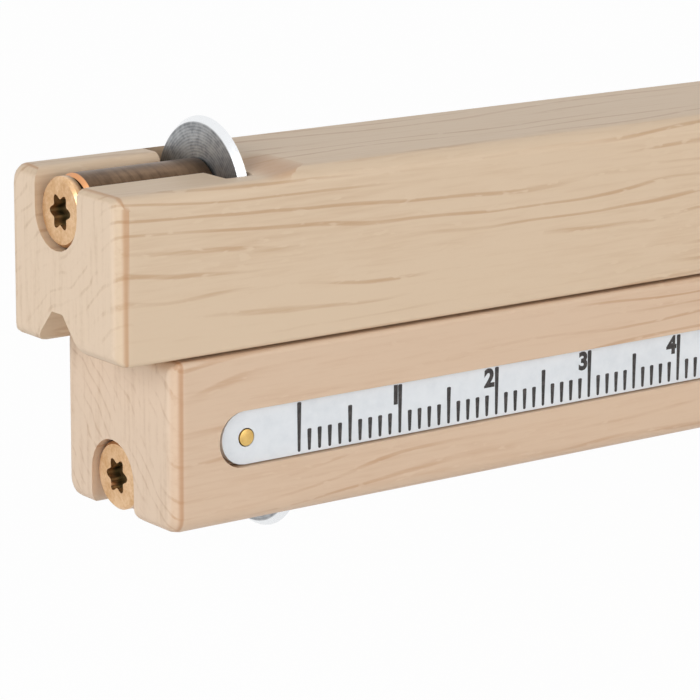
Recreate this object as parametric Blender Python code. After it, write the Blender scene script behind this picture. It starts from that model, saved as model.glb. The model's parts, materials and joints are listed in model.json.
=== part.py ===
"""Dual marking gauge: two wooden beams slide one above the other through a wooden fence.

Each beam carries a hardened cutting wheel near its end, held by a screw through a sleeve. The lower
beam has an inlaid scale. A thumbscrew on each side of the fence clamps one beam. X runs along the beams
from the cutting ends to the tails, Y from the scale's side to the far side and Z up. The origin is the
middle of the object's base.
"""
import math

import bmesh
import bpy
from mathutils import Matrix

MM = 0.001

# Beams
BEAM_WIDTH = 15.4 * MM
BEAM_HEIGHT = 13.7 * MM
BEAM_LENGTH = 220.0 * MM
BEAM_GAP = 0.25 * MM
BEAM_LEAD = 4.9 * MM
OUTER_ROUND = 1.4 * MM
INNER_ROUND = 0.4 * MM
END_ROUND = 1.1 * MM
OVERRUN = 3.0 * MM

# Tongue on the lower beam and groove in the upper one
CUT_SETBACK = 0.85 * MM
GROOVE_WIDTH = 6.0 * MM
GROOVE_DEPTH = 2.85 * MM
GROOVE_FLAT = 1.5 * MM
GROOVE_LIP = 0.35 * MM
TONGUE_FIT = 0.25 * MM
TONGUE_ROOT = 0.5 * MM

# Cutting wheels
WHEEL_RADIUS = 6.15 * MM
WHEEL_THICKNESS = 1.0 * MM
WHEEL_FACE_RADIUS = 5.7 * MM
WHEEL_EDGE_OFFSET = 0.6 * MM
WHEEL_BACK_RADIUS = 5.1 * MM
WHEEL_FACE_AT = 13.2 * MM
WHEEL_AXIS_DEPTH = 3.0 * MM
WHEEL_SIDE_PLAY = 0.2 * MM
WHEEL_SLOT_START = 11.6 * MM
WHEEL_SLOT_CLEARANCE = 0.35 * MM

# Wheel screws and sleeves
SCREW_RADIUS = 1.5 * MM
SCREW_LENGTH = 24.0 * MM
SCREW_TIP = 2.0 * MM
SCREW_PLAY = 0.1 * MM
HEAD_RADIUS = 2.75 * MM
HEAD_RIM = 0.8 * MM
HEAD_CHAMFER = 0.22 * MM
HEAD_CONE = 0.8 * MM
HEAD_RECESS = 0.4 * MM
DRIVE_RADIUS = 1.48 * MM
DRIVE_DEPTH = 1.1 * MM
DRIVE_LOBES = 6
DRIVE_LOBE_SHARE = 0.16
SLEEVE_RADIUS = 2.9 * MM
SLEEVE_BORE = 1.65 * MM
SLEEVE_CHAMFER = 0.3 * MM
SLEEVE_GAP = 0.3 * MM
CHANNEL_WIDTH = 6.0 * MM
CHANNEL_LIP = 0.8 * MM

# Scale
STRIP_WIDTH = 4.3 * MM
STRIP_THICKNESS = 0.8 * MM
STRIP_SUNK = 0.4 * MM
STRIP_END = 4.8 * MM
STRIP_PLAY = 0.12 * MM
STRIP_END_PLAY = 0.5 * MM
STRIP_SEAT_GAP = 0.2 * MM
PIN_AT = 7.1 * MM
PIN_RADIUS = 0.66 * MM
PIN_LENGTH = 4.0 * MM
PIN_PROUD = 0.12 * MM
PIN_PLAY = 0.1 * MM

# Fence
FENCE_REACH = 78.0 * MM
FENCE_THICKNESS = 24.0 * MM
FENCE_WIDTH = 46.0 * MM
FENCE_HEIGHT = 70.0 * MM
FENCE_CORNER = 5.0 * MM
FENCE_EDGE = 1.5 * MM
MORTISE_FIT = 0.3 * MM
MORTISE_CORNER = 0.8 * MM

# Clamps
PAD_RADIUS = 4.2 * MM
PAD_THICKNESS = 3.2 * MM
PAD_PLAY = 0.3 * MM
PAD_EDGE = 0.4 * MM
CLAMP_TRAVEL = 1.5 * MM
TIP_RADIUS = 1.7 * MM
TIP_LENGTH = 1.4 * MM
TIP_PLAY = 0.15 * MM
CLAMP_RADIUS = 2.5 * MM
CLAMP_PLAY = 0.1 * MM
INSERT_RADIUS = 4.0 * MM
INSERT_WALL = 1.1 * MM
INSERT_FLANGE = 5.4 * MM
INSERT_FLANGE_THICKNESS = 1.2 * MM
INSERT_PLAY = 0.1 * MM
KNOB_RADIUS = 7.5 * MM
KNOB_LENGTH = 8.0 * MM
KNOB_CHAMFER = 0.8 * MM
KNOB_LAND = 0.8 * MM
KNOB_DISH = 0.4 * MM
KNOB_BORE_DEPTH = 6.0 * MM
KNOB_STANDOFF = 1.5 * MM
KNOB_COLLAR = 4.0 * MM
KNOB_RIBS = 36
KNURL_DEPTH = 0.35 * MM

# Facets
CORNER_STEPS = 4
TURN_STEPS = 48
WHEEL_STEPS = 72
FINE_STEPS = 24
LOBE_STEPS = 8

# Places that several pieces share, measured along X from the lower beam's cutting end
JOINT_HEIGHT = FENCE_HEIGHT / 2
SECTION_CENTRE = (BEAM_GAP + BEAM_HEIGHT) / 2
LENGTH_MIDDLE = (BEAM_LENGTH - BEAM_LEAD) / 2
FENCE_FACE_AT = WHEEL_FACE_AT + WHEEL_EDGE_OFFSET + FENCE_REACH
FENCE_CENTRE_AT = FENCE_FACE_AT + FENCE_THICKNESS / 2
WHEEL_AXIS_HEIGHT = BEAM_GAP / 2 + BEAM_HEIGHT - WHEEL_AXIS_DEPTH
MORTISE_HALF = BEAM_WIDTH / 2 + MORTISE_FIT
SHOULDER_AT = WHEEL_FACE_AT + WHEEL_THICKNESS + WHEEL_SIDE_PLAY
SLEEVE_START = HEAD_RECESS + HEAD_RIM + SLEEVE_GAP
SLEEVE_END = WHEEL_FACE_AT - WHEEL_SIDE_PLAY
PAD_POCKET_END = BEAM_WIDTH / 2 + PAD_PLAY + PAD_THICKNESS + CLAMP_TRAVEL + PAD_PLAY
INSERT_LENGTH = FENCE_WIDTH / 2 - PAD_POCKET_END - INSERT_WALL - INSERT_PLAY


def clear_scene():
    for obj in list(bpy.data.objects):
        bpy.data.objects.remove(obj, do_unlink=True)


def material(name, colour, roughness, metallic):
    made = bpy.data.materials.new(name)
    made.use_nodes = True
    shader = made.node_tree.nodes["Principled BSDF"]
    shader.inputs["Base Color"].default_value = (*colour, 1.0)
    shader.inputs["Roughness"].default_value = roughness
    shader.inputs["Metallic"].default_value = metallic
    made.diffuse_color = (*colour, 1.0)
    return made


def solid(name, bm, look, parent, place):
    """Turn a finished bmesh into one object with outward faces, placed under its parent."""
    bmesh.ops.recalc_face_normals(bm, faces=bm.faces)
    mesh = bpy.data.meshes.new(name)
    bm.to_mesh(mesh)
    bm.free()
    mesh.shade_smooth()
    mesh.set_sharp_from_angle(angle=math.radians(30))
    obj = bpy.data.objects.new(name, mesh)
    bpy.context.scene.collection.objects.link(obj)
    if look:
        mesh.materials.append(look)
    obj.parent = parent
    obj.location = place
    return obj


def cut(target, bm, place, tag):
    """Cut a shape out of the target with a Boolean; the cutter stays as a hidden guide."""
    cutter = solid(f"{target.name}_{tag}_cutter", bm, None, target.parent, place)
    cutter.hide_render = True
    cutter.display_type = "WIRE"
    boolean = target.modifiers.new(tag, "BOOLEAN")
    boolean.operation = "DIFFERENCE"
    boolean.object = cutter
    return cutter


def join(target, bm, place, tag):
    """Join a shape onto the target with a Boolean union."""
    adder = cut(target, bm, place, tag)
    target.modifiers[tag].operation = "UNION"
    return adder


def rings_to_mesh(rings, closed):
    """Skin a row of equal rings; a closed row runs round like a tube, an open one gets end caps."""
    bm = bmesh.new()
    rows = [[bm.verts.new(point) for point in ring] for ring in rings]
    pairs = list(zip(rows, rows[1:]))
    if closed:
        pairs.append((rows[-1], rows[0]))
    for first, second in pairs:
        count = len(first)
        for i in range(count):
            j = (i + 1) % count
            bm.faces.new((first[i], first[j], second[j], second[i]))
    if not closed:
        bm.faces.new(rows[0])
        bm.faces.new(rows[-1])
    return bm


def turned(profile, steps, axis="X", bored=False):
    """Turn a profile of (place along the axis, radius) points; a bored one closes on itself, with no caps."""
    angles = [math.tau * i / steps for i in range(steps)]
    rows = [[along(axis, at, r * math.cos(a), r * math.sin(a)) for a in angles] for at, r in profile]
    return rings_to_mesh(rows, closed=bored)


def along(axis, at, across, up):
    """A point placed at a distance along X or Y, with its two other coordinates."""
    return (at, across, up) if axis == "X" else (across, at, up)


def arc(cy, cz, radius, start, end, steps):
    """Points on an arc in a section plane, from one angle to another in degrees."""
    points = []
    for i in range(steps + 1):
        angle = math.radians(start + (end - start) * i / steps)
        points.append((cy + radius * math.cos(angle), cz + radius * math.sin(angle)))
    return points


def rounded_section(half_width, low, high, low_round, high_round):
    """Rounded rectangle with its own corner radius on the low and the high side."""
    points = []
    corners = ((1, high, -1, high_round, 0), (-1, high, -1, high_round, 90),
               (-1, low, 1, low_round, 180), (1, low, 1, low_round, 270))
    for side, level, inward, radius, start in corners:
        points += arc(side * (half_width - radius), level + inward * radius, radius,
                      start, start + 90, CORNER_STEPS)
    return points


def rounded_bar(length, half_width, low, high, low_round, high_round, end_round):
    """Bar along X whose section is a rounded rectangle and whose end edges are rounded too."""
    rings = []
    stations = []
    for i in range(CORNER_STEPS + 1):
        angle = math.radians(90 * i / CORNER_STEPS)
        stations.append((end_round * (1 - math.cos(angle)), end_round * (1 - math.sin(angle))))
    stations += [(length - at, inset) for at, inset in reversed(stations)]
    for at, inset in stations:
        shrink = min(1 - inset / (2 * end_round), 1)
        section = rounded_section(half_width - inset, low + inset, high - inset,
                                  low_round * shrink, high_round * shrink)
        rings.append([(at, y, z) for y, z in section])
    return rings_to_mesh(rings, closed=False)


def prism(section, start, end):
    """Extrude a section in the YZ plane along X."""
    return rings_to_mesh([[(at, y, z) for y, z in section] for at in (start, end)], closed=False)


def groove_section():
    """Blunt V in the upper beam's inner face, with its mouth eased."""
    half_mouth = GROOVE_WIDTH / 2
    half_lip = half_mouth + GROOVE_LIP
    half_flat = GROOVE_FLAT / 2
    mouth = BEAM_GAP / 2
    depth = mouth + GROOVE_DEPTH
    points = [(half_lip, -mouth), (half_lip, mouth), (half_mouth, mouth + GROOVE_LIP),
              (half_flat, depth), (-half_flat, depth), (-half_mouth, mouth + GROOVE_LIP),
              (-half_lip, mouth), (-half_lip, -mouth)]
    return [(CUT_SETBACK + y, z) for y, z in points]


def tongue_section():
    """Tongue on the lower beam: the groove's outline less the running fit, rooted in the beam."""
    half_root = GROOVE_WIDTH / 2 - TONGUE_FIT
    half_flat = GROOVE_FLAT / 2 - TONGUE_FIT / 2
    top = BEAM_GAP / 2 + GROOVE_DEPTH - TONGUE_FIT
    root = -BEAM_GAP / 2 - TONGUE_ROOT
    points = [(half_root, root), (half_root, 0), (half_flat, top),
              (-half_flat, top), (-half_root, 0), (-half_root, root)]
    return [(CUT_SETBACK + y, z) for y, z in points]


def channel_section(out):
    """Round-bottomed channel open to the outer face, with its mouth rounded over."""
    half = CHANNEL_WIDTH / 2
    face = BEAM_GAP / 2 + BEAM_HEIGHT
    lip = CHANNEL_LIP
    right = arc(half + lip, face - lip, lip, 180, 90, CORNER_STEPS)
    left = [(-y, z) for y, z in reversed(right)]
    bottom = arc(0, WHEEL_AXIS_HEIGHT, half, 180, 360, FINE_STEPS // 2)
    top = [(half + lip, face + OVERRUN), (-half - lip, face + OVERRUN)]
    points = bottom + right + top + left
    return [(CUT_SETBACK + y, out * z) for y, z in points]


def stadium(start, end, radius):
    """Bar outline with half-round ends, as points (x, z)."""
    half = FINE_STEPS // 2
    return (arc(end - radius, 0, radius, -90, 90, half)
            + arc(start + radius, 0, radius, 90, 270, half))


def strip_bar(start, end, radius, near, far):
    """Stadium outline extruded along Y."""
    outline = stadium(start, end, radius)
    return rings_to_mesh([[(x, at, z) for x, z in outline] for at in (near, far)], closed=False)


def beam(name, out, look, parent, place):
    """One beam with its wheel's channel, slot and screw hole; out is +1 for the upper, -1 for the lower."""
    face = out * (BEAM_GAP / 2 + BEAM_HEIGHT)
    inner = out * BEAM_GAP / 2
    if out > 0:
        bar = rounded_bar(BEAM_LENGTH, BEAM_WIDTH / 2, inner, face, INNER_ROUND, OUTER_ROUND, END_ROUND)
    else:
        bar = rounded_bar(BEAM_LENGTH, BEAM_WIDTH / 2, face, inner, OUTER_ROUND, INNER_ROUND, END_ROUND)
    body = solid(name, bar, look, parent, place)
    if out > 0:
        cut(body, prism(groove_section(), -OVERRUN, BEAM_LENGTH + OVERRUN), place, "groove")
    else:
        join(body, prism(tongue_section(), END_ROUND / 2, BEAM_LENGTH - END_ROUND / 2), place, "tongue")
    axis = out * WHEEL_AXIS_HEIGHT
    cut(body, prism(channel_section(out), -OVERRUN, WHEEL_FACE_AT), place, "channel")
    slot_radius = WHEEL_RADIUS + WHEEL_SLOT_CLEARANCE
    slot = turned([(WHEEL_SLOT_START, slot_radius), (SHOULDER_AT, slot_radius)], WHEEL_STEPS)
    cut(body, slot, (place[0], CUT_SETBACK, place[2] + axis), "wheel_slot")
    hole_radius = SCREW_RADIUS + SCREW_PLAY
    hole_end = HEAD_RECESS + SCREW_LENGTH + SCREW_PLAY
    hole = turned([(WHEEL_FACE_AT, hole_radius), (hole_end, hole_radius)], FINE_STEPS)
    cut(body, hole, (place[0], CUT_SETBACK, place[2] + axis), "screw_hole")
    return body


def pin_places():
    """The scale's two pins: their names and distances from the cutting end."""
    return (("near", PIN_AT), ("far", BEAM_LENGTH - PIN_AT))


def cut_scale_recess(body):
    """Recess for the strip in the lower beam's front face, with a hole for each of its pins."""
    surface = -BEAM_WIDTH / 2
    floor = surface + STRIP_SUNK + STRIP_THICKNESS + STRIP_SEAT_GAP
    start = STRIP_END - STRIP_END_PLAY
    recess = strip_bar(start, BEAM_LENGTH - start, STRIP_WIDTH / 2 + STRIP_PLAY, surface - OVERRUN, floor)
    cut(body, recess, (0, 0, -SECTION_CENTRE), "scale_recess")
    depth = surface + STRIP_SUNK + PIN_LENGTH + PIN_PLAY
    for tag, at in pin_places():
        hole = turned([(surface, PIN_RADIUS + PIN_PLAY), (depth, PIN_RADIUS + PIN_PLAY)], FINE_STEPS, "Y")
        cut(body, hole, (at, 0, -SECTION_CENTRE), f"{tag}_pin_hole")


def scale_strip(look, parent):
    """Scale strip with half-round ends and a hole near each end for its pin."""
    front = STRIP_SUNK - BEAM_WIDTH / 2
    back = front + STRIP_THICKNESS
    bar = strip_bar(STRIP_END, BEAM_LENGTH - STRIP_END, STRIP_WIDTH / 2, front, back)
    strip = solid("scale", bar, look, parent, (0, 0, -SECTION_CENTRE))
    for tag, at in pin_places():
        hole = turned([(front - OVERRUN, PIN_RADIUS + PIN_PLAY), (back + OVERRUN, PIN_RADIUS + PIN_PLAY)],
                      FINE_STEPS, "Y")
        cut(strip, hole, (at, 0, -SECTION_CENTRE), f"{tag}_hole")
    return strip


def scale_pin(name, at, look, parent):
    """Round pin with a slightly domed end, standing a little proud of the strip."""
    front = STRIP_SUNK - BEAM_WIDTH / 2
    profile = [(front - PIN_PROUD, PIN_RADIUS / 2), (front - PIN_PROUD / 2, PIN_RADIUS),
               (front + PIN_LENGTH, PIN_RADIUS)]
    return solid(name, turned(profile, FINE_STEPS, "Y"), look, parent, (at, 0, -SECTION_CENTRE))


def cutting_wheel(name, out, look, parent, place):
    """Cutting wheel: flat front, edge ground from both sides, plain bore. Its origin is on its axis."""
    bore = SCREW_RADIUS + SCREW_PLAY
    profile = [(0, bore), (0, WHEEL_FACE_RADIUS), (WHEEL_EDGE_OFFSET, WHEEL_RADIUS),
               (WHEEL_THICKNESS, WHEEL_BACK_RADIUS), (WHEEL_THICKNESS, bore)]
    spot = (place[0] + WHEEL_FACE_AT, CUT_SETBACK, place[2] + out * WHEEL_AXIS_HEIGHT)
    return solid(name, turned(profile, WHEEL_STEPS, bored=True), look, parent, spot)


def sleeve(name, out, look, parent, place):
    """Sleeve between the screw's head and the wheel, countersunk at the head's end."""
    mouth = SLEEVE_RADIUS - SLEEVE_CHAMFER
    profile = [(SLEEVE_START + HEAD_CONE, SLEEVE_BORE), (SLEEVE_START, mouth),
               (SLEEVE_START + SLEEVE_CHAMFER, SLEEVE_RADIUS), (SLEEVE_END, SLEEVE_RADIUS),
               (SLEEVE_END, SLEEVE_BORE)]
    spot = (place[0], CUT_SETBACK, place[2] + out * WHEEL_AXIS_HEIGHT)
    return solid(name, turned(profile, TURN_STEPS, bored=True), look, parent, spot)


def lobed_outline(radius, lobes, depth_share, steps):
    """Outline of a lobed drive recess: the radius swings in and out once for each lobe."""
    points = []
    for i in range(steps):
        angle = math.tau * i / steps
        reach = radius * (1 - depth_share * (1 - math.cos(lobes * angle)))
        points.append((reach * math.cos(angle), reach * math.sin(angle)))
    return points


def wheel_screw(name, out, look, parent, place):
    """Countersunk screw with a lobed drive recess; it runs through sleeve and wheel into the beam."""
    seat = HEAD_RECESS + HEAD_RIM
    profile = [(HEAD_RECESS, HEAD_RADIUS - HEAD_CHAMFER), (HEAD_RECESS + HEAD_CHAMFER, HEAD_RADIUS),
               (seat, HEAD_RADIUS), (seat + HEAD_CONE, SCREW_RADIUS),
               (HEAD_RECESS + SCREW_LENGTH - SCREW_TIP, SCREW_RADIUS),
               (HEAD_RECESS + SCREW_LENGTH, SCREW_RADIUS / 3)]
    spot = (place[0], CUT_SETBACK, place[2] + out * WHEEL_AXIS_HEIGHT)
    screw = solid(name, turned(profile, TURN_STEPS), look, parent, spot)
    star = lobed_outline(DRIVE_RADIUS, DRIVE_LOBES, DRIVE_LOBE_SHARE, DRIVE_LOBES * LOBE_STEPS)
    cut(screw, prism(star, HEAD_RECESS - OVERRUN, HEAD_RECESS + DRIVE_DEPTH), spot, "drive")
    return screw


def fence(look, parent):
    """Fence: rounded block with one mortise for both beams and a stepped bore for each clamp."""
    half = FENCE_HEIGHT / 2
    block = rounded_bar(FENCE_THICKNESS, FENCE_WIDTH / 2, -half, half, FENCE_CORNER, FENCE_CORNER, FENCE_EDGE)
    place = (FENCE_FACE_AT, 0, 0)
    body = solid("fence", block, look, parent, place)
    reach = BEAM_GAP / 2 + BEAM_HEIGHT + MORTISE_FIT
    opening = rounded_section(MORTISE_HALF, -reach, reach, MORTISE_CORNER, MORTISE_CORNER)
    cut(body, prism(opening, -OVERRUN, FENCE_THICKNESS + OVERRUN), place, "mortise")
    for name, side, height in clamps():
        outside = FENCE_WIDTH / 2
        bush = INSERT_LENGTH + INSERT_PLAY
        flange = INSERT_FLANGE_THICKNESS + INSERT_PLAY
        profile = [(MORTISE_HALF - OVERRUN, PAD_RADIUS + PAD_PLAY),
                   (PAD_POCKET_END, PAD_RADIUS + PAD_PLAY),
                   (PAD_POCKET_END, CLAMP_RADIUS + PAD_PLAY),
                   (outside - bush, CLAMP_RADIUS + PAD_PLAY),
                   (outside - bush, INSERT_RADIUS + INSERT_PLAY),
                   (outside - flange, INSERT_RADIUS + INSERT_PLAY),
                   (outside - flange, INSERT_FLANGE + INSERT_PLAY),
                   (outside + OVERRUN, INSERT_FLANGE + INSERT_PLAY)]
        bore = turned([(side * at, r) for at, r in profile], TURN_STEPS, "Y")
        cut(body, bore, (FENCE_CENTRE_AT, 0, height), f"{name}_clamp_bore")
    return body


def clamps():
    """Each clamp's beam, the side it presses from and its height about the joint of the beams."""
    return (("lower", 1, -SECTION_CENTRE), ("upper", -1, SECTION_CENTRE))


def clamp_insert(name, side, height, look, parent):
    """Flanged threaded bush, flush with the fence's side."""
    outside = FENCE_WIDTH / 2
    bore = CLAMP_RADIUS + CLAMP_PLAY
    profile = [(outside - INSERT_LENGTH, bore), (outside - INSERT_LENGTH, INSERT_RADIUS),
               (outside - INSERT_FLANGE_THICKNESS, INSERT_RADIUS),
               (outside - INSERT_FLANGE_THICKNESS, INSERT_FLANGE), (outside, INSERT_FLANGE),
               (outside, bore)]
    ring = turned([(side * at, r) for at, r in profile], TURN_STEPS, "Y", bored=True)
    return solid(name, ring, look, parent, (FENCE_CENTRE_AT, 0, height))


def clamp_pad(name, side, height, look, parent):
    """Pressure pad between thumbscrew and beam, with a blind seat for the screw's tip."""
    front = BEAM_WIDTH / 2 + PAD_PLAY
    back = front + PAD_THICKNESS
    seat = back - TIP_LENGTH
    profile = [(front, PAD_RADIUS - PAD_EDGE), (front + PAD_EDGE, PAD_RADIUS),
               (back - PAD_EDGE, PAD_RADIUS), (back, PAD_RADIUS - PAD_EDGE),
               (back, TIP_RADIUS + TIP_PLAY), (seat, TIP_RADIUS + TIP_PLAY)]
    disc = turned([(side * at, r) for at, r in profile], TURN_STEPS, "Y")
    return solid(name, disc, look, parent, (FENCE_CENTRE_AT, 0, height))


def clamp_stud(name, side, height, look, parent):
    """Stud that carries the knob: a tip in the pad, then the shank that runs through the bush."""
    seat = BEAM_WIDTH / 2 + PAD_PLAY + PAD_THICKNESS
    tip = seat - TIP_LENGTH + TIP_PLAY
    end = FENCE_WIDTH / 2 + KNOB_STANDOFF + KNOB_BORE_DEPTH - CLAMP_PLAY
    profile = [(tip, TIP_RADIUS), (seat + TIP_PLAY, TIP_RADIUS), (seat + TIP_PLAY, CLAMP_RADIUS),
               (end, CLAMP_RADIUS)]
    rod = turned([(side * at, r) for at, r in profile], FINE_STEPS, "Y")
    return solid(name, rod, look, parent, (FENCE_CENTRE_AT, 0, height))


def ribbed_ring(at, radius, groove):
    """One ring of a knob about Y; every second point sinks by the groove's depth."""
    steps = KNOB_RIBS * 2
    ring = []
    for i in range(steps):
        angle = math.tau * i / steps
        reach = radius - groove * (i % 2)
        ring.append((reach * math.cos(angle), at, reach * math.sin(angle)))
    return ring


def thumb_knob(name, side, height, look, parent):
    """Knurled knob with a dished end, a collar and a blind bore for the stud. Its origin is on its axis."""
    collar = FENCE_WIDTH / 2 + KNOB_STANDOFF / 2
    knob = FENCE_WIDTH / 2 + KNOB_STANDOFF
    end = knob + KNOB_LENGTH
    rim = KNOB_RADIUS - KNOB_CHAMFER
    dish = rim - KNOB_LAND
    bore = CLAMP_RADIUS + CLAMP_PLAY
    profile = [(end - KNOB_DISH, dish - KNOB_DISH, 0), (end, dish, 0), (end, rim, 0),
               (end - KNOB_CHAMFER, KNOB_RADIUS, KNURL_DEPTH),
               (knob + KNOB_CHAMFER, KNOB_RADIUS, KNURL_DEPTH),
               (knob, rim, 0), (knob, KNOB_COLLAR, 0), (collar, KNOB_COLLAR, 0),
               (collar, bore, 0), (knob + KNOB_BORE_DEPTH, bore, 0)]
    rings = [ribbed_ring(side * at, radius, groove) for at, radius, groove in profile]
    return solid(name, rings_to_mesh(rings, closed=False), look, parent, (FENCE_CENTRE_AT, 0, height))


def build():
    clear_scene()
    maple = material("maple", (0.71, 0.54, 0.35), 0.45, 0.0)
    block_wood = material("fence_wood", (0.62, 0.43, 0.25), 0.45, 0.0)
    steel = material("wheel_steel", (0.60, 0.61, 0.62), 0.28, 1.0)
    stud_steel = material("stud_steel", (0.55, 0.56, 0.57), 0.4, 1.0)
    bronze = material("sleeve_bronze", (0.36, 0.23, 0.13), 0.35, 1.0)
    plating = material("screw_plating", (0.72, 0.55, 0.33), 0.32, 1.0)
    brass = material("brass", (0.78, 0.60, 0.28), 0.3, 1.0)
    white = material("scale_white", (0.85, 0.87, 0.88), 0.35, 0.0)
    pad_plastic = material("pad_plastic", (0.05, 0.05, 0.05), 0.5, 0.0)

    frame = bpy.data.objects.new("gauge_frame", None)
    bpy.context.scene.collection.objects.link(frame)
    frame.matrix_world = Matrix.Translation((-LENGTH_MIDDLE, 0, JOINT_HEIGHT))

    fence(block_wood, frame)
    for name, side, height in clamps():
        clamp_insert(f"{name}_clamp_insert", side, height, brass, frame)
        clamp_pad(f"{name}_clamp_pad", side, height, pad_plastic, frame)
        clamp_stud(f"{name}_clamp_stud", side, height, stud_steel, frame)
        thumb_knob(f"{name}_thumb_knob", side, height, brass, frame)

    for name, out, start in (("lower", -1, 0), ("upper", 1, -BEAM_LEAD)):
        place = (start, 0, 0)
        body = beam(f"{name}_beam", out, maple, frame, place)
        sleeve(f"{name}_sleeve", out, bronze, frame, place)
        wheel_screw(f"{name}_wheel_screw", out, plating, frame, place)
        cutting_wheel(f"{name}_wheel", out, steel, frame, place)
        if out < 0:
            cut_scale_recess(body)
    scale_strip(white, frame)
    for tag, at in pin_places():
        scale_pin(f"scale_pin_{tag}", at, brass, frame)


build()
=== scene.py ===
"""Looks of a dual marking gauge with wooden beams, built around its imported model."""
import json
import math

import bpy
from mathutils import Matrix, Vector

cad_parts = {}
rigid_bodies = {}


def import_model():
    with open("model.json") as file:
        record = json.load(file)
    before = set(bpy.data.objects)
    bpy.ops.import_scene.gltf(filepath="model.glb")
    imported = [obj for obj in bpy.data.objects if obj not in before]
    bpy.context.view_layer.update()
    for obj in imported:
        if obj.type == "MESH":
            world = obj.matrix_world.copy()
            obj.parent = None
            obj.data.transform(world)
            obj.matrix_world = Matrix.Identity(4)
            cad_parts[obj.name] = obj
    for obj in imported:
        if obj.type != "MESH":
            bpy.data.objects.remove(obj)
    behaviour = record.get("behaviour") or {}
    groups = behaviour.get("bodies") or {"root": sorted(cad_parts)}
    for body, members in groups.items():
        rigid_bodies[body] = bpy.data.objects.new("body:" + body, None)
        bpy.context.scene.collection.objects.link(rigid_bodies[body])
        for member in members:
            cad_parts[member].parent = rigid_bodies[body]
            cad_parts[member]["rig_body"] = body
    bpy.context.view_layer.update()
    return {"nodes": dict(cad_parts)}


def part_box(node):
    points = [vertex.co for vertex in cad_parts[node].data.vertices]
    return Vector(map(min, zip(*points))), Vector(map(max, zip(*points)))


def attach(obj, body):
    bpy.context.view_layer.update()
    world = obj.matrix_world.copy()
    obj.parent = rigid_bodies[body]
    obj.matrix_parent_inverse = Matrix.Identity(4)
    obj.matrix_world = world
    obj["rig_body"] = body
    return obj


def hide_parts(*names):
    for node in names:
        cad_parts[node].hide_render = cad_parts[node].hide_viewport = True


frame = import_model()
bpy.ops.object.select_all(action="DESELECT")
MM = 0.001


# The two beams: square sticks of pale maple, planed, sanded and given a thin satin finish. The lower one
# carries the tongue and the upper one the groove. A milled channel at each end takes the wheel's sleeve.
class Value:
    """A shader socket that adds its own Math nodes when it is used in an expression."""

    def __init__(self, finish, socket):
        self.finish = finish
        self.socket = socket

    def maths(self, operation, first, second=0.0):
        return self.finish.node("ShaderNodeMath", {"operation": operation}, {0: first, 1: second})

    def __add__(self, other):
        return self.maths("ADD", self, other)

    __radd__ = __add__

    def __sub__(self, other):
        return self.maths("SUBTRACT", self, other)

    def __rsub__(self, other):
        return self.maths("SUBTRACT", other, self)

    def __mul__(self, other):
        return self.maths("MULTIPLY", self, other)

    __rmul__ = __mul__

    def __abs__(self):
        return self.maths("ABSOLUTE", self)

    def sine(self):
        return self.maths("SINE", self)

    def step(self, low, high):
        """0 below low, 1 above high and smooth between them."""
        return self.finish.node("ShaderNodeMapRange", {"interpolation_type": "SMOOTHSTEP"},
                                {"Value": self, "From Min": low, "From Max": high})


class Finish:
    """A material being made, with one method that adds any node to it."""

    def __init__(self, name):
        self.material = bpy.data.materials.new(name)
        self.material.use_nodes = True
        self.tree = self.material.node_tree
        self.shader = self.tree.nodes["Principled BSDF"]

    def node(self, kind, settings, sockets, output=0):
        made = self.tree.nodes.new(kind)
        for key, setting in settings.items():
            setattr(made, key, setting)
        for key, value in sockets.items():
            if isinstance(value, Value):
                self.tree.links.new(value.socket, made.inputs[key])
            else:
                made.inputs[key].default_value = value
        return Value(self, made.outputs[output])

    def place(self):
        return self.node("ShaderNodeTexCoord", {}, {}, "Object")

    def parts(self, vector):
        split = self.node("ShaderNodeSeparateXYZ", {}, {"Vector": vector}).socket.node
        return [Value(self, output) for output in split.outputs]

    def noise(self, stretch, detail=2.0, roughness=0.5, shift=(0.0, 0.0, 0.0)):
        """Noise whose features are 1/stretch metres long on each axis."""
        spread = self.node("ShaderNodeMapping", {},
                           {"Vector": self.place(), "Location": shift, "Scale": stretch}, "Vector")
        return self.node("ShaderNodeTexNoise", {}, {"Vector": spread, "Scale": 1.0, "Detail": detail,
                                                    "Roughness": roughness}, "Fac")

    def mix(self, share, first, second):
        return self.node("ShaderNodeMix", {"data_type": "RGBA"}, {0: share, 6: first, 7: second}, 2)

    def bump(self, height, distance, strength=1.0):
        return self.node("ShaderNodeBump", {},
                         {"Height": height, "Distance": distance, "Strength": strength}, "Normal")

    def apply(self, **inputs):
        """Set or link the shader's own sockets, named with underscores for spaces."""
        for key, value in inputs.items():
            socket = self.shader.inputs[key.replace("_", " ")]
            if isinstance(value, Value):
                self.tree.links.new(value.socket, socket)
            else:
                socket.default_value = value
        return self.material


def colour(red, green, blue):
    """A colour written as it looks on a screen, 0 to 255, as the shader's own linear values."""
    shares = [level / 255 for level in (red, green, blue)]
    return (*[s / 12.92 if s <= 0.04045 else ((s + 0.055) / 1.055) ** 2.4 for s in shares], 1.0)


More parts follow.
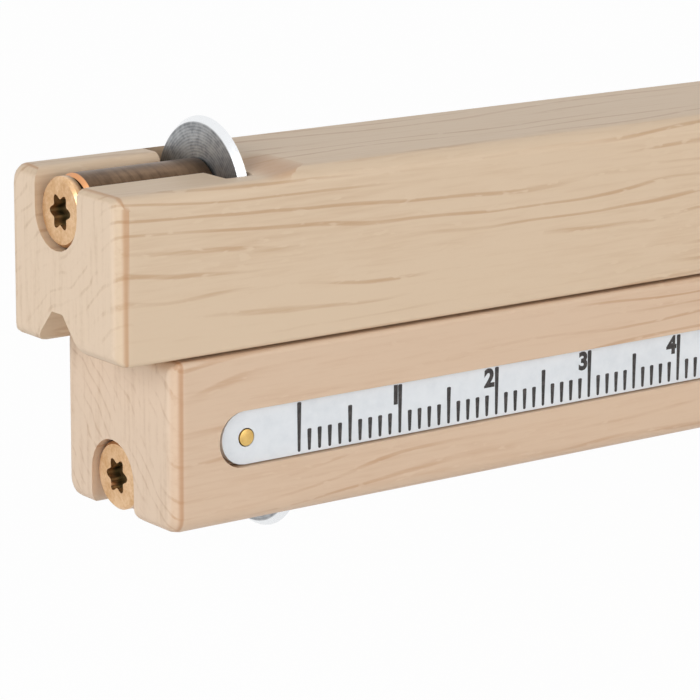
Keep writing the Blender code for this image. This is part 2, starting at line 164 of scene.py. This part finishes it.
def dress(node, name, material, smooth_angle=32, cutter=None):
    """Stand a cleaned, smooth-shaded copy of a CAD node in its place, cut to shape and with its finish."""
    merge_gap = 0.002 * MM
    flat_angle = math.radians(0.3)
    source = frame["nodes"][node]
    piece = bpy.data.objects.new(name, source.data.copy())
    bpy.context.scene.collection.objects.link(piece)
    bpy.ops.object.select_all(action="DESELECT")
    bpy.context.view_layer.objects.active = piece
    piece.select_set(True)
    bpy.ops.object.mode_set(mode="EDIT")
    bpy.ops.mesh.select_all(action="SELECT")
    bpy.ops.mesh.remove_doubles(threshold=merge_gap)
    bpy.ops.mesh.dissolve_limited(angle_limit=flat_angle)
    bpy.ops.object.mode_set(mode="OBJECT")
    if cutter:
        relief = piece.modifiers.new("relief", "BOOLEAN")
        relief.operation = "DIFFERENCE"
        relief.object = cutter
        bpy.ops.object.modifier_apply(modifier=relief.name)
        bpy.data.objects.remove(cutter)
    bpy.ops.object.shade_smooth_by_angle(angle=math.radians(smooth_angle))
    even = piece.modifiers.new("even_shading", "WEIGHTED_NORMAL")
    even.keep_sharp = True
    bpy.ops.object.modifier_apply(modifier=even.name)
    piece.data.materials.clear()
    piece.data.materials.append(material)
    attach(piece, source["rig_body"])
    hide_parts(node)
    piece.select_set(False)
    return piece


def wood(name, side, side_line, end, end_line, edge, pith, line_gap, shift):
    """Close-grained wood with its fibres along X: faint growth lines, flecks, and paler end faces, partly the
    end grain's own tone and partly painted light for their brighter lighting.
    """
    finish = Finish(name)
    x, y, z = finish.parts(finish.place())
    wander = finish.noise((14.0, 70.0, 70.0), 3.0, 0.5, shift)
    far = finish.node("ShaderNodeVectorMath", {"operation": "LENGTH"}, {
        0: finish.node("ShaderNodeCombineXYZ", {}, {"Y": y - pith[0], "Z": z - pith[1]}, "Vector")}, "Value")
    ring = ((far + wander * (7 * line_gap)) * (math.tau / line_gap)).sine()
    line = ring.step(0.62, 1.0) * finish.noise((30.0, 240.0, 240.0), 2.0, 0.6, shift).step(0.40, 0.62)
    fibre = finish.noise((160.0, 2600.0, 2600.0), 3.0, 0.6, shift)
    fleck = finish.noise((620.0, 2300.0, 2300.0), 1.0, 0.5, shift).step(0.6, 0.74)
    cloud = finish.noise((22.0, 90.0, 90.0), 2.0, 0.5, shift)
    ray = finish.noise((60.0, 2400.0, 190.0), 2.0, 0.55, shift)
    speck = finish.noise((2600.0, 2600.0, 2600.0), 2.0, 0.6, shift)
    facing = abs(finish.parts(finish.node("ShaderNodeTexCoord", {}, {}, "Normal"))[0])
    at_end = facing.step(0.80, 0.97)
    at_edge = facing.step(0.04, 0.22) * (1.0 - facing.step(0.30, 0.62))
    side_mix = line * 0.55 + (fibre - 0.5) * 0.9 + (cloud - 0.5) * 0.7 + 0.12 - fleck * 0.4
    end_mix = line * 0.35 + (ray - 0.5) * 1.3 + (speck - 0.5) * 0.5 + 0.12
    along_side = finish.mix(side_mix.step(0.0, 1.0), side, side_line)
    # Partly painted light: the end faces get a paler colour than the sides, standing in for their brighter
    # lighting, besides the end grain's own tone, rays and specks.
    across_end = finish.mix(end_mix.step(0.0, 1.0), end, end_line)
    tone = finish.mix(at_edge * 0.6, finish.mix(at_end, along_side, across_end), edge)
    height = fibre * 0.6 + line * 0.2 + fleck * 0.3 + speck * at_end * 0.6
    return finish.apply(Base_Color=tone, Roughness=0.40 + fibre * 0.14 + at_end * 0.12,
                        Normal=finish.bump(height, 0.012 * MM), Specular_IOR_Level=0.4)


def ease(at, start, end):
    """0 before the start, 1 after the end and smooth between them."""
    share = min(max((at - start) / (end - start), 0.0), 1.0)
    return share * share * (3 - 2 * share)


def rounded(inward, radius):
    """How far a rounded edge lies under its flat, at a distance inward from the side."""
    left = min(max(radius - inward, 0.0), radius)
    return radius - math.sqrt(radius * radius - left * left)


def near_wall_relief(beam):
    """Cutter that lowers the channel's near wall a little and runs out behind the wheel's slot."""
    low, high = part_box(beam)
    drop = 0.7 * MM
    clear_of_top = 0.03 * MM
    top_round = 1.0 * MM
    end_round = 0.8 * MM
    ramp_start = 13.5 * MM
    ramp_end = 19.0 * MM
    fade_start = 5.7 * MM
    fade_end = 8.5 * MM
    overrun = 1.0 * MM
    length = ramp_end + 2 * overrun
    width = fade_end + 1.5 * overrun
    height = 4.0 * MM
    bpy.ops.mesh.primitive_grid_add(x_subdivisions=70, y_subdivisions=40, size=2.0, location=(0, 0, 0))
    cutter = bpy.context.object
    cutter.name = f"{beam}_relief"
    for vertex in cutter.data.vertices:
        along = (vertex.co.x + 1) / 2 * length - overrun
        across = (vertex.co.y + 1) / 2 * width - overrun
        sunk = drop * (1 - ease(along, ramp_start, ramp_end)) * (1 - ease(across, fade_start, fade_end))
        level = high.z + clear_of_top - sunk - rounded(across, top_round) - rounded(along, end_round)
        vertex.co = Vector((low.x + along, low.y + across, level))
    bpy.ops.object.mode_set(mode="EDIT")
    bpy.ops.mesh.select_all(action="SELECT")
    bpy.ops.mesh.extrude_region_move(TRANSFORM_OT_translate={"value": (0, 0, height)})
    bpy.ops.mesh.select_all(action="SELECT")
    bpy.ops.mesh.normals_make_consistent(inside=False)
    bpy.ops.object.mode_set(mode="OBJECT")
    return cutter


lower_maple = wood("lower_maple", side=colour(223, 195, 168), side_line=colour(200, 160, 126),
                   end=colour(232, 208, 184), end_line=colour(206, 176, 148), edge=colour(182, 128, 84),
                   pith=(46 * MM, -30 * MM), line_gap=1.1 * MM, shift=(3.1, 1.7, 5.3))
upper_maple = wood("upper_maple", side=colour(223, 199, 171), side_line=colour(200, 166, 132),
                   end=colour(234, 211, 186), end_line=colour(208, 180, 150), edge=colour(184, 132, 88),
                   pith=(-38 * MM, -22 * MM), line_gap=1.2 * MM, shift=(0.4, 6.2, 2.9))
dress("lower_beam", "lower_beam_stick", lower_maple)
dress("upper_beam", "upper_beam_stick", upper_maple, cutter=near_wall_relief("upper_beam"))


# The scale: a thin white strip with half-round ends, let into the lower beam's front and held by two
# brass pins. Its centimetre, half-centimetre and millimetre lines and its figures are printed dark.
def strip_white():
    finish = Finish("strip_white")
    cloud = finish.noise((60.0, 300.0, 300.0), 3.0)
    grime = finish.noise((900.0, 900.0, 900.0), 3.0, 0.6)
    tone = finish.mix((cloud * 0.5 + grime * 0.5).step(0.35, 0.75), colour(236, 240, 244),
                      colour(224, 229, 234))
    return finish.apply(Base_Color=tone, Roughness=0.32 + grime * 0.12,
                        Normal=finish.bump(grime, 0.004 * MM))


def print_ink():
    finish = Finish("print_ink")
    wear = finish.noise((2200.0, 2200.0, 2200.0), 2.0)
    tone = finish.mix(wear.step(0.4, 0.75), colour(40, 36, 36), colour(74, 68, 66))
    return finish.apply(Base_Color=tone, Roughness=0.5 + wear * 0.15, Normal=finish.bump(wear, 0.004 * MM))


print_depth = 0.04 * MM


def line_bar(name, x, low, high, face):
    """One printed line, a little wider at its top, with its corners rounded; it stands proud of the strip."""
    half_top = 0.20 * MM
    half_foot = 0.125 * MM
    corner = 0.11 * MM
    bpy.ops.mesh.primitive_cube_add(size=1.0, location=(x, face, (low + high) / 2),
                                    scale=(2 * half_foot, print_depth, high - low))
    bar = bpy.context.object
    bar.name = name
    bpy.ops.object.transform_apply(location=True, rotation=True, scale=True)
    for vertex in bar.data.vertices:
        if vertex.co.z > (low + high) / 2:
            vertex.co.x = x + math.copysign(half_top, vertex.co.x - x)
    bpy.ops.object.mode_set(mode="EDIT")
    bpy.ops.mesh.select_all(action="DESELECT")
    bpy.ops.mesh.select_mode(type="EDGE")
    bpy.ops.object.mode_set(mode="OBJECT")
    for edge in bar.data.edges:
        run = bar.data.vertices[edge.vertices[0]].co - bar.data.vertices[edge.vertices[1]].co
        edge.select = abs(run.y) > print_depth / 2
    bpy.ops.object.mode_set(mode="EDIT")
    bpy.ops.mesh.bevel(offset=corner, segments=3)
    bpy.ops.object.mode_set(mode="OBJECT")
    return bar


def figure(text, right, top, face, height):
    """A printed number, its right side and top at the given places, facing the front."""
    boldness = 0.045
    curve_steps = 4
    bpy.ops.object.text_add(location=(0, 0, 0))
    words = bpy.context.object
    words.data.body = text
    words.data.offset = boldness
    words.data.extrude = 0.01
    words.data.resolution_u = curve_steps
    bpy.ops.object.convert(target="MESH")
    mesh = bpy.context.object
    corners = [vertex.co.copy() for vertex in mesh.data.vertices]
    high_x = max(c.x for c in corners)
    low_y, high_y = min(c.y for c in corners), max(c.y for c in corners)
    size = height / (high_y - low_y)
    for vertex in mesh.data.vertices:
        across, up, out = vertex.co
        vertex.co = Vector((right + (across - high_x) * size, face - math.copysign(print_depth / 2, out),
                            top + (up - high_y) * size))
    return mesh


scale_low, scale_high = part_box("scale")
strip_face = scale_low.y
strip_middle = (scale_low.z + scale_high.z) / 2
zero_at = scale_low.x + 7.37 * MM
line_foot = strip_middle - 1.955 * MM
line_tops = {
    "millimetre": line_foot + 1.75 * MM,
    "half": line_foot + 3.05 * MM,
    "centimetre": line_foot + 4.02 * MM,
}
figure_height = 1.62 * MM
figure_gap = 0.24 * MM
last_line = 195
marks = []
for count in range(last_line + 1):
    kind = "centimetre" if count % 10 == 0 else "half" if count % 5 == 0 else "millimetre"
    marks.append(line_bar(f"line_{count}", zero_at + count * MM, line_foot, line_tops[kind], strip_face))
for centimetre in range(1, last_line // 10 + 1):
    edge_at = zero_at + centimetre * 10 * MM - figure_gap
    marks.append(figure(str(centimetre), edge_at, line_tops["centimetre"], strip_face, figure_height))
bpy.ops.object.select_all(action="DESELECT")
for mark in marks:
    mark.select_set(True)
bpy.context.view_layer.objects.active = marks[0]
bpy.ops.object.join()
scale_marks = bpy.context.object
scale_marks.name = "scale_marks"
bpy.ops.object.mode_set(mode="EDIT")
bpy.ops.mesh.select_all(action="SELECT")
bpy.ops.mesh.normals_make_consistent(inside=False)
bpy.ops.object.mode_set(mode="OBJECT")
bpy.ops.object.transform_apply(location=True, rotation=True, scale=True)
scale_marks.data.materials.clear()
scale_marks.data.materials.append(print_ink())
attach(scale_marks, "lower_beam")
dress("scale", "scale_strip", strip_white())


# Brass: the two pins of the scale here, and the bushes and knobs of the clamps further down. Turned from
# bar and left satin, it has fine tool marks and slightly darker spots where it was handled.
def turned_metal(name, light, dark, roughness, tool_marks=0.006 * MM):
    finish = Finish(name)
    cloud = finish.noise((420.0, 420.0, 420.0), 3.0, 0.6)
    fine = finish.noise((5200.0, 5200.0, 5200.0), 2.0, 0.6)
    tone = finish.mix((cloud * 0.7 + fine * 0.3).step(0.3, 0.75), light, dark)
    return finish.apply(Base_Color=tone, Metallic=1.0, Roughness=roughness + (cloud - 0.5) * 0.15,
                        Normal=finish.bump(fine, tool_marks))


brass = turned_metal("brass", colour(226, 190, 118), colour(190, 148, 82), 0.32)
for end_name in ("near", "far"):
    dress(f"scale_pin_{end_name}", f"scale_pin_{end_name}_brass", brass)


# Wheel screws, sleeves and wheels: each wheel is ground tool steel with the lathe's rings left on its
# face. A dull bronze sleeve spaces it from the yellow-plated countersunk screw that holds it.
def around(finish, centre):
    """Distance from an axis along X that passes through a centre."""
    x, y, z = finish.parts(finish.place())
    offset = finish.node("ShaderNodeCombineXYZ", {}, {"Y": y - centre.y, "Z": z - centre.z}, "Vector")
    return finish.node("ShaderNodeVectorMath", {"operation": "LENGTH"}, {0: offset}, "Value")


def wheel_steel(name, centre, face_radius):
    """Turned face with fine rings, and a rim outside the face's radius, left smoother from grinding and
    painted brighter as a painted highlight.
    """
    ring_gap = 0.24 * MM
    finish = Finish(name)
    reach = around(finish, centre)
    wobble = finish.noise((300.0, 300.0, 300.0), 2.0)
    ring = ((reach + wobble * (0.05 * MM)) * (math.tau / ring_gap)).sine()
    scratch = finish.noise((1500.0, 1500.0, 1500.0), 3.0, 0.65)
    sparkle = finish.noise((4200.0, 4200.0, 4200.0), 1.0).step(0.55, 0.75)
    # Painted highlight: the rim past the face's radius is coloured near white; its lower roughness is the
    # real smoother grinding.
    ground_rim_and_painted_highlight = reach.step(face_radius - 0.04 * MM, face_radius + 0.06 * MM)
    flat = finish.mix((ring * 0.10 + scratch).step(0.25, 0.85), colour(176, 178, 180), colour(126, 129, 132))
    tone = finish.mix(ground_rim_and_painted_highlight, flat, colour(236, 238, 240))
    return finish.apply(Base_Color=tone, Metallic=1.0, Roughness=0.36 + scratch * 0.12 - ground_rim_and_painted_highlight * 0.14,
                        Normal=finish.bump(ring * 0.2 + scratch * 0.4 + sparkle * 0.5, 0.010 * MM))


def sleeve_bronze(name, start):
    """Dull bronze with a painted highlight: the chamfer at the screw's end, where the sleeve starts, is
    coloured bright copper.
    """
    finish = Finish(name)
    x = finish.parts(finish.place())[0]
    cloud = finish.noise((500.0, 900.0, 900.0), 3.0, 0.6)
    streak = finish.noise((2600.0, 260.0, 260.0), 2.0, 0.6)
    # Painted highlight: a band of about 0.3 mm at the sleeve's start, its chamfer, is coloured bright copper.
    painted_chamfer_highlight = 1.0 - (x - start).step(0.26 * MM, 0.36 * MM)
    tone = finish.mix((cloud * 0.5 + streak * 0.5).step(0.3, 0.7), colour(112, 90, 70), colour(80, 62, 47))
    return finish.apply(Base_Color=finish.mix(painted_chamfer_highlight, tone, colour(222, 160, 112)), Metallic=1.0,
                        Roughness=0.34 + cloud * 0.12, Normal=finish.bump(streak, 0.006 * MM))


def screw_plating(name, face_at):
    """Yellow plating, with painted shade making it darker from a little behind the head's face: down in the
    drive recess, under the head and along the shank.
    """
    finish = Finish(name)
    x = finish.parts(finish.place())[0]
    cloud = finish.noise((700.0, 700.0, 700.0), 3.0, 0.6)
    fine = finish.noise((4200.0, 4200.0, 4200.0), 2.0, 0.6)
    # Painted shade: everything more than about 0.35 mm behind the head's face is coloured a darker brownish
    # yellow.
    painted_shade_behind_face = (x - face_at).step(0.35 * MM, 0.9 * MM)
    face = finish.mix((cloud * 0.6 + fine * 0.4).step(0.3, 0.7), colour(232, 196, 156), colour(204, 160, 112))
    return finish.apply(Base_Color=finish.mix(painted_shade_behind_face, face, colour(118, 108, 84)), Metallic=1.0,
                        Roughness=0.30 + cloud * 0.14, Normal=finish.bump(fine, 0.006 * MM))


ground_width = 0.45 * MM
for beam_name in ("lower", "upper"):
    wheel_low, wheel_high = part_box(f"{beam_name}_wheel")
    wheel_centre = (wheel_low + wheel_high) / 2
    face_radius = (wheel_high.z - wheel_low.z) / 2 - ground_width
    sleeve_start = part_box(f"{beam_name}_sleeve")[0].x
    head_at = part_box(f"{beam_name}_wheel_screw")[0].x
    dress(f"{beam_name}_wheel", f"{beam_name}_wheel_disc",
          wheel_steel(f"{beam_name}_wheel_steel", wheel_centre, face_radius), 20)
    dress(f"{beam_name}_sleeve", f"{beam_name}_sleeve_tube",
          sleeve_bronze(f"{beam_name}_sleeve_bronze", sleeve_start))
    dress(f"{beam_name}_wheel_screw", f"{beam_name}_wheel_screw_turned",
          screw_plating(f"{beam_name}_screw_plating", head_at))


# The fence: a block of slightly darker wood with rounded corners and one mortise for both beams. Flanged
# brass bushes in its sides carry the clamp screws, each a steel stud in a knurled brass knob.
fence_maple = wood("fence_maple", side=colour(214, 180, 138), side_line=colour(186, 146, 104),
                   end=colour(214, 184, 146), end_line=colour(188, 152, 112), edge=colour(178, 132, 88),
                   pith=(60 * MM, -40 * MM), line_gap=2.4 * MM, shift=(7.7, 3.3, 1.1))
stud_steel = turned_metal("stud_steel", colour(186, 188, 190), colour(150, 152, 154), 0.38)


def pad_plastic():
    finish = Finish("pad_plastic")
    grain = finish.noise((3600.0, 3600.0, 3600.0), 2.0)
    tone = finish.mix(grain.step(0.3, 0.7), colour(48, 48, 48), colour(64, 64, 64))
    return finish.apply(Base_Color=tone, Roughness=0.5 + grain * 0.15, Normal=finish.bump(grain, 0.01 * MM))


dress("fence", "fence_block", fence_maple)
pressure_pad = pad_plastic()
for beam_name in ("lower", "upper"):
    dress(f"{beam_name}_clamp_insert", f"{beam_name}_clamp_bush", brass)
    dress(f"{beam_name}_clamp_pad", f"{beam_name}_pressure_pad", pressure_pad)
    dress(f"{beam_name}_clamp_stud", f"{beam_name}_clamp_rod", stud_steel)
    dress(f"{beam_name}_thumb_knob", f"{beam_name}_knurled_knob", brass, 20)


# The studio: a wide white table top, a white surround and soft lamps, the main one to the left of the
# cutting ends. The table keeps the gauge's shadow.
def table_white():
    """Matt white that also shines a little where the camera sees it, so that it shows as white."""
    white_share = 0.97
    finish = Finish("table_white")
    haze = finish.noise((40.0, 40.0, 40.0), 2.0)
    body = finish.apply(Base_Color=finish.mix(haze, colour(242, 242, 242), colour(248, 248, 248)),
                        Roughness=0.7 + haze * 0.1)
    seen = finish.node("ShaderNodeLightPath", {}, {}, "Is Camera Ray")
    mirrored = finish.node("ShaderNodeLightPath", {}, {}, "Is Glossy Ray")
    passed = finish.node("ShaderNodeLightPath", {}, {}, "Is Transmission Ray")
    white = finish.node("ShaderNodeEmission", {}, {"Color": (1.0, 1.0, 1.0, 1.0), "Strength": 1.0})
    direct = seen + mirrored + passed
    share = direct.maths("MINIMUM", direct, 1.0) * white_share
    both = finish.node("ShaderNodeMixShader", {}, {0: share, 1: Value(finish, finish.shader.outputs[0]),
                                                   2: white})
    finish.tree.links.new(both.socket, finish.tree.nodes["Material Output"].inputs["Surface"])
    return body


bpy.ops.mesh.primitive_plane_add(size=8.0, location=(0, 0, 0))
table = bpy.context.object
table.name = "table_top"
table.data.materials.append(table_white())

surround = bpy.data.worlds.new("white_surround")
bpy.context.scene.world = surround
surround.use_nodes = True
sky = surround.node_tree
ambient = sky.nodes["Background"]
ambient.inputs["Color"].default_value = (1.0, 1.0, 1.0, 1.0)
ambient.inputs["Strength"].default_value = 0.27
plain = sky.nodes.new("ShaderNodeBackground")
plain.inputs["Color"].default_value = (1.0, 1.0, 1.0, 1.0)
plain.inputs["Strength"].default_value = 1.0
rays = sky.nodes.new("ShaderNodeLightPath")
chosen = sky.nodes.new("ShaderNodeMath")
chosen.operation = "MAXIMUM"
sky.links.new(rays.outputs["Is Camera Ray"], chosen.inputs[0])
sky.links.new(rays.outputs["Is Glossy Ray"], chosen.inputs[1])
through = sky.nodes.new("ShaderNodeMath")
through.operation = "MAXIMUM"
sky.links.new(chosen.outputs[0], through.inputs[0])
sky.links.new(rays.outputs["Is Transmission Ray"], through.inputs[1])
shown = sky.nodes.new("ShaderNodeMixShader")
sky.links.new(through.outputs[0], shown.inputs[0])
sky.links.new(ambient.outputs[0], shown.inputs[1])
sky.links.new(plain.outputs[0], shown.inputs[2])
sky.links.new(shown.outputs[0], sky.nodes["World Output"].inputs["Surface"])


def soft_lamp(name, place, target, size, power):
    bpy.ops.object.light_add(type="AREA", location=place)
    lamp = bpy.context.object
    lamp.name = name
    lamp.data.size = size
    lamp.data.energy = power
    lamp.rotation_euler = (Vector(target) - Vector(place)).to_track_quat("-Z", "Y").to_euler()


cutting_end = (scale_low.x, 0.0, 35 * MM)
soft_lamp("left_lamp", (-1.1, -0.35, 0.45), cutting_end, 0.7, 6.8)
soft_lamp("front_lamp", (0.1, -1.2, 0.35), cutting_end, 0.8, 5.6)
soft_lamp("top_lamp", (0.3, 0.4, 1.2), cutting_end, 0.6, 1.6)

# The camera stands low on the left of the cutting ends with a long lens, as it was measured from the
# scale's lines.
bpy.ops.object.camera_add(location=(-247.70 * MM, -216.28 * MM, 96.36 * MM),
                          rotation=(math.radians(76.507), math.radians(-0.336), math.radians(-36.884)))
camera = bpy.context.object
camera.data.sensor_width = 36.0
camera.data.lens = 175.18
camera.data.clip_start = 0.01
bpy.context.scene.camera = camera
bpy.context.scene.view_settings.view_transform = "Standard"
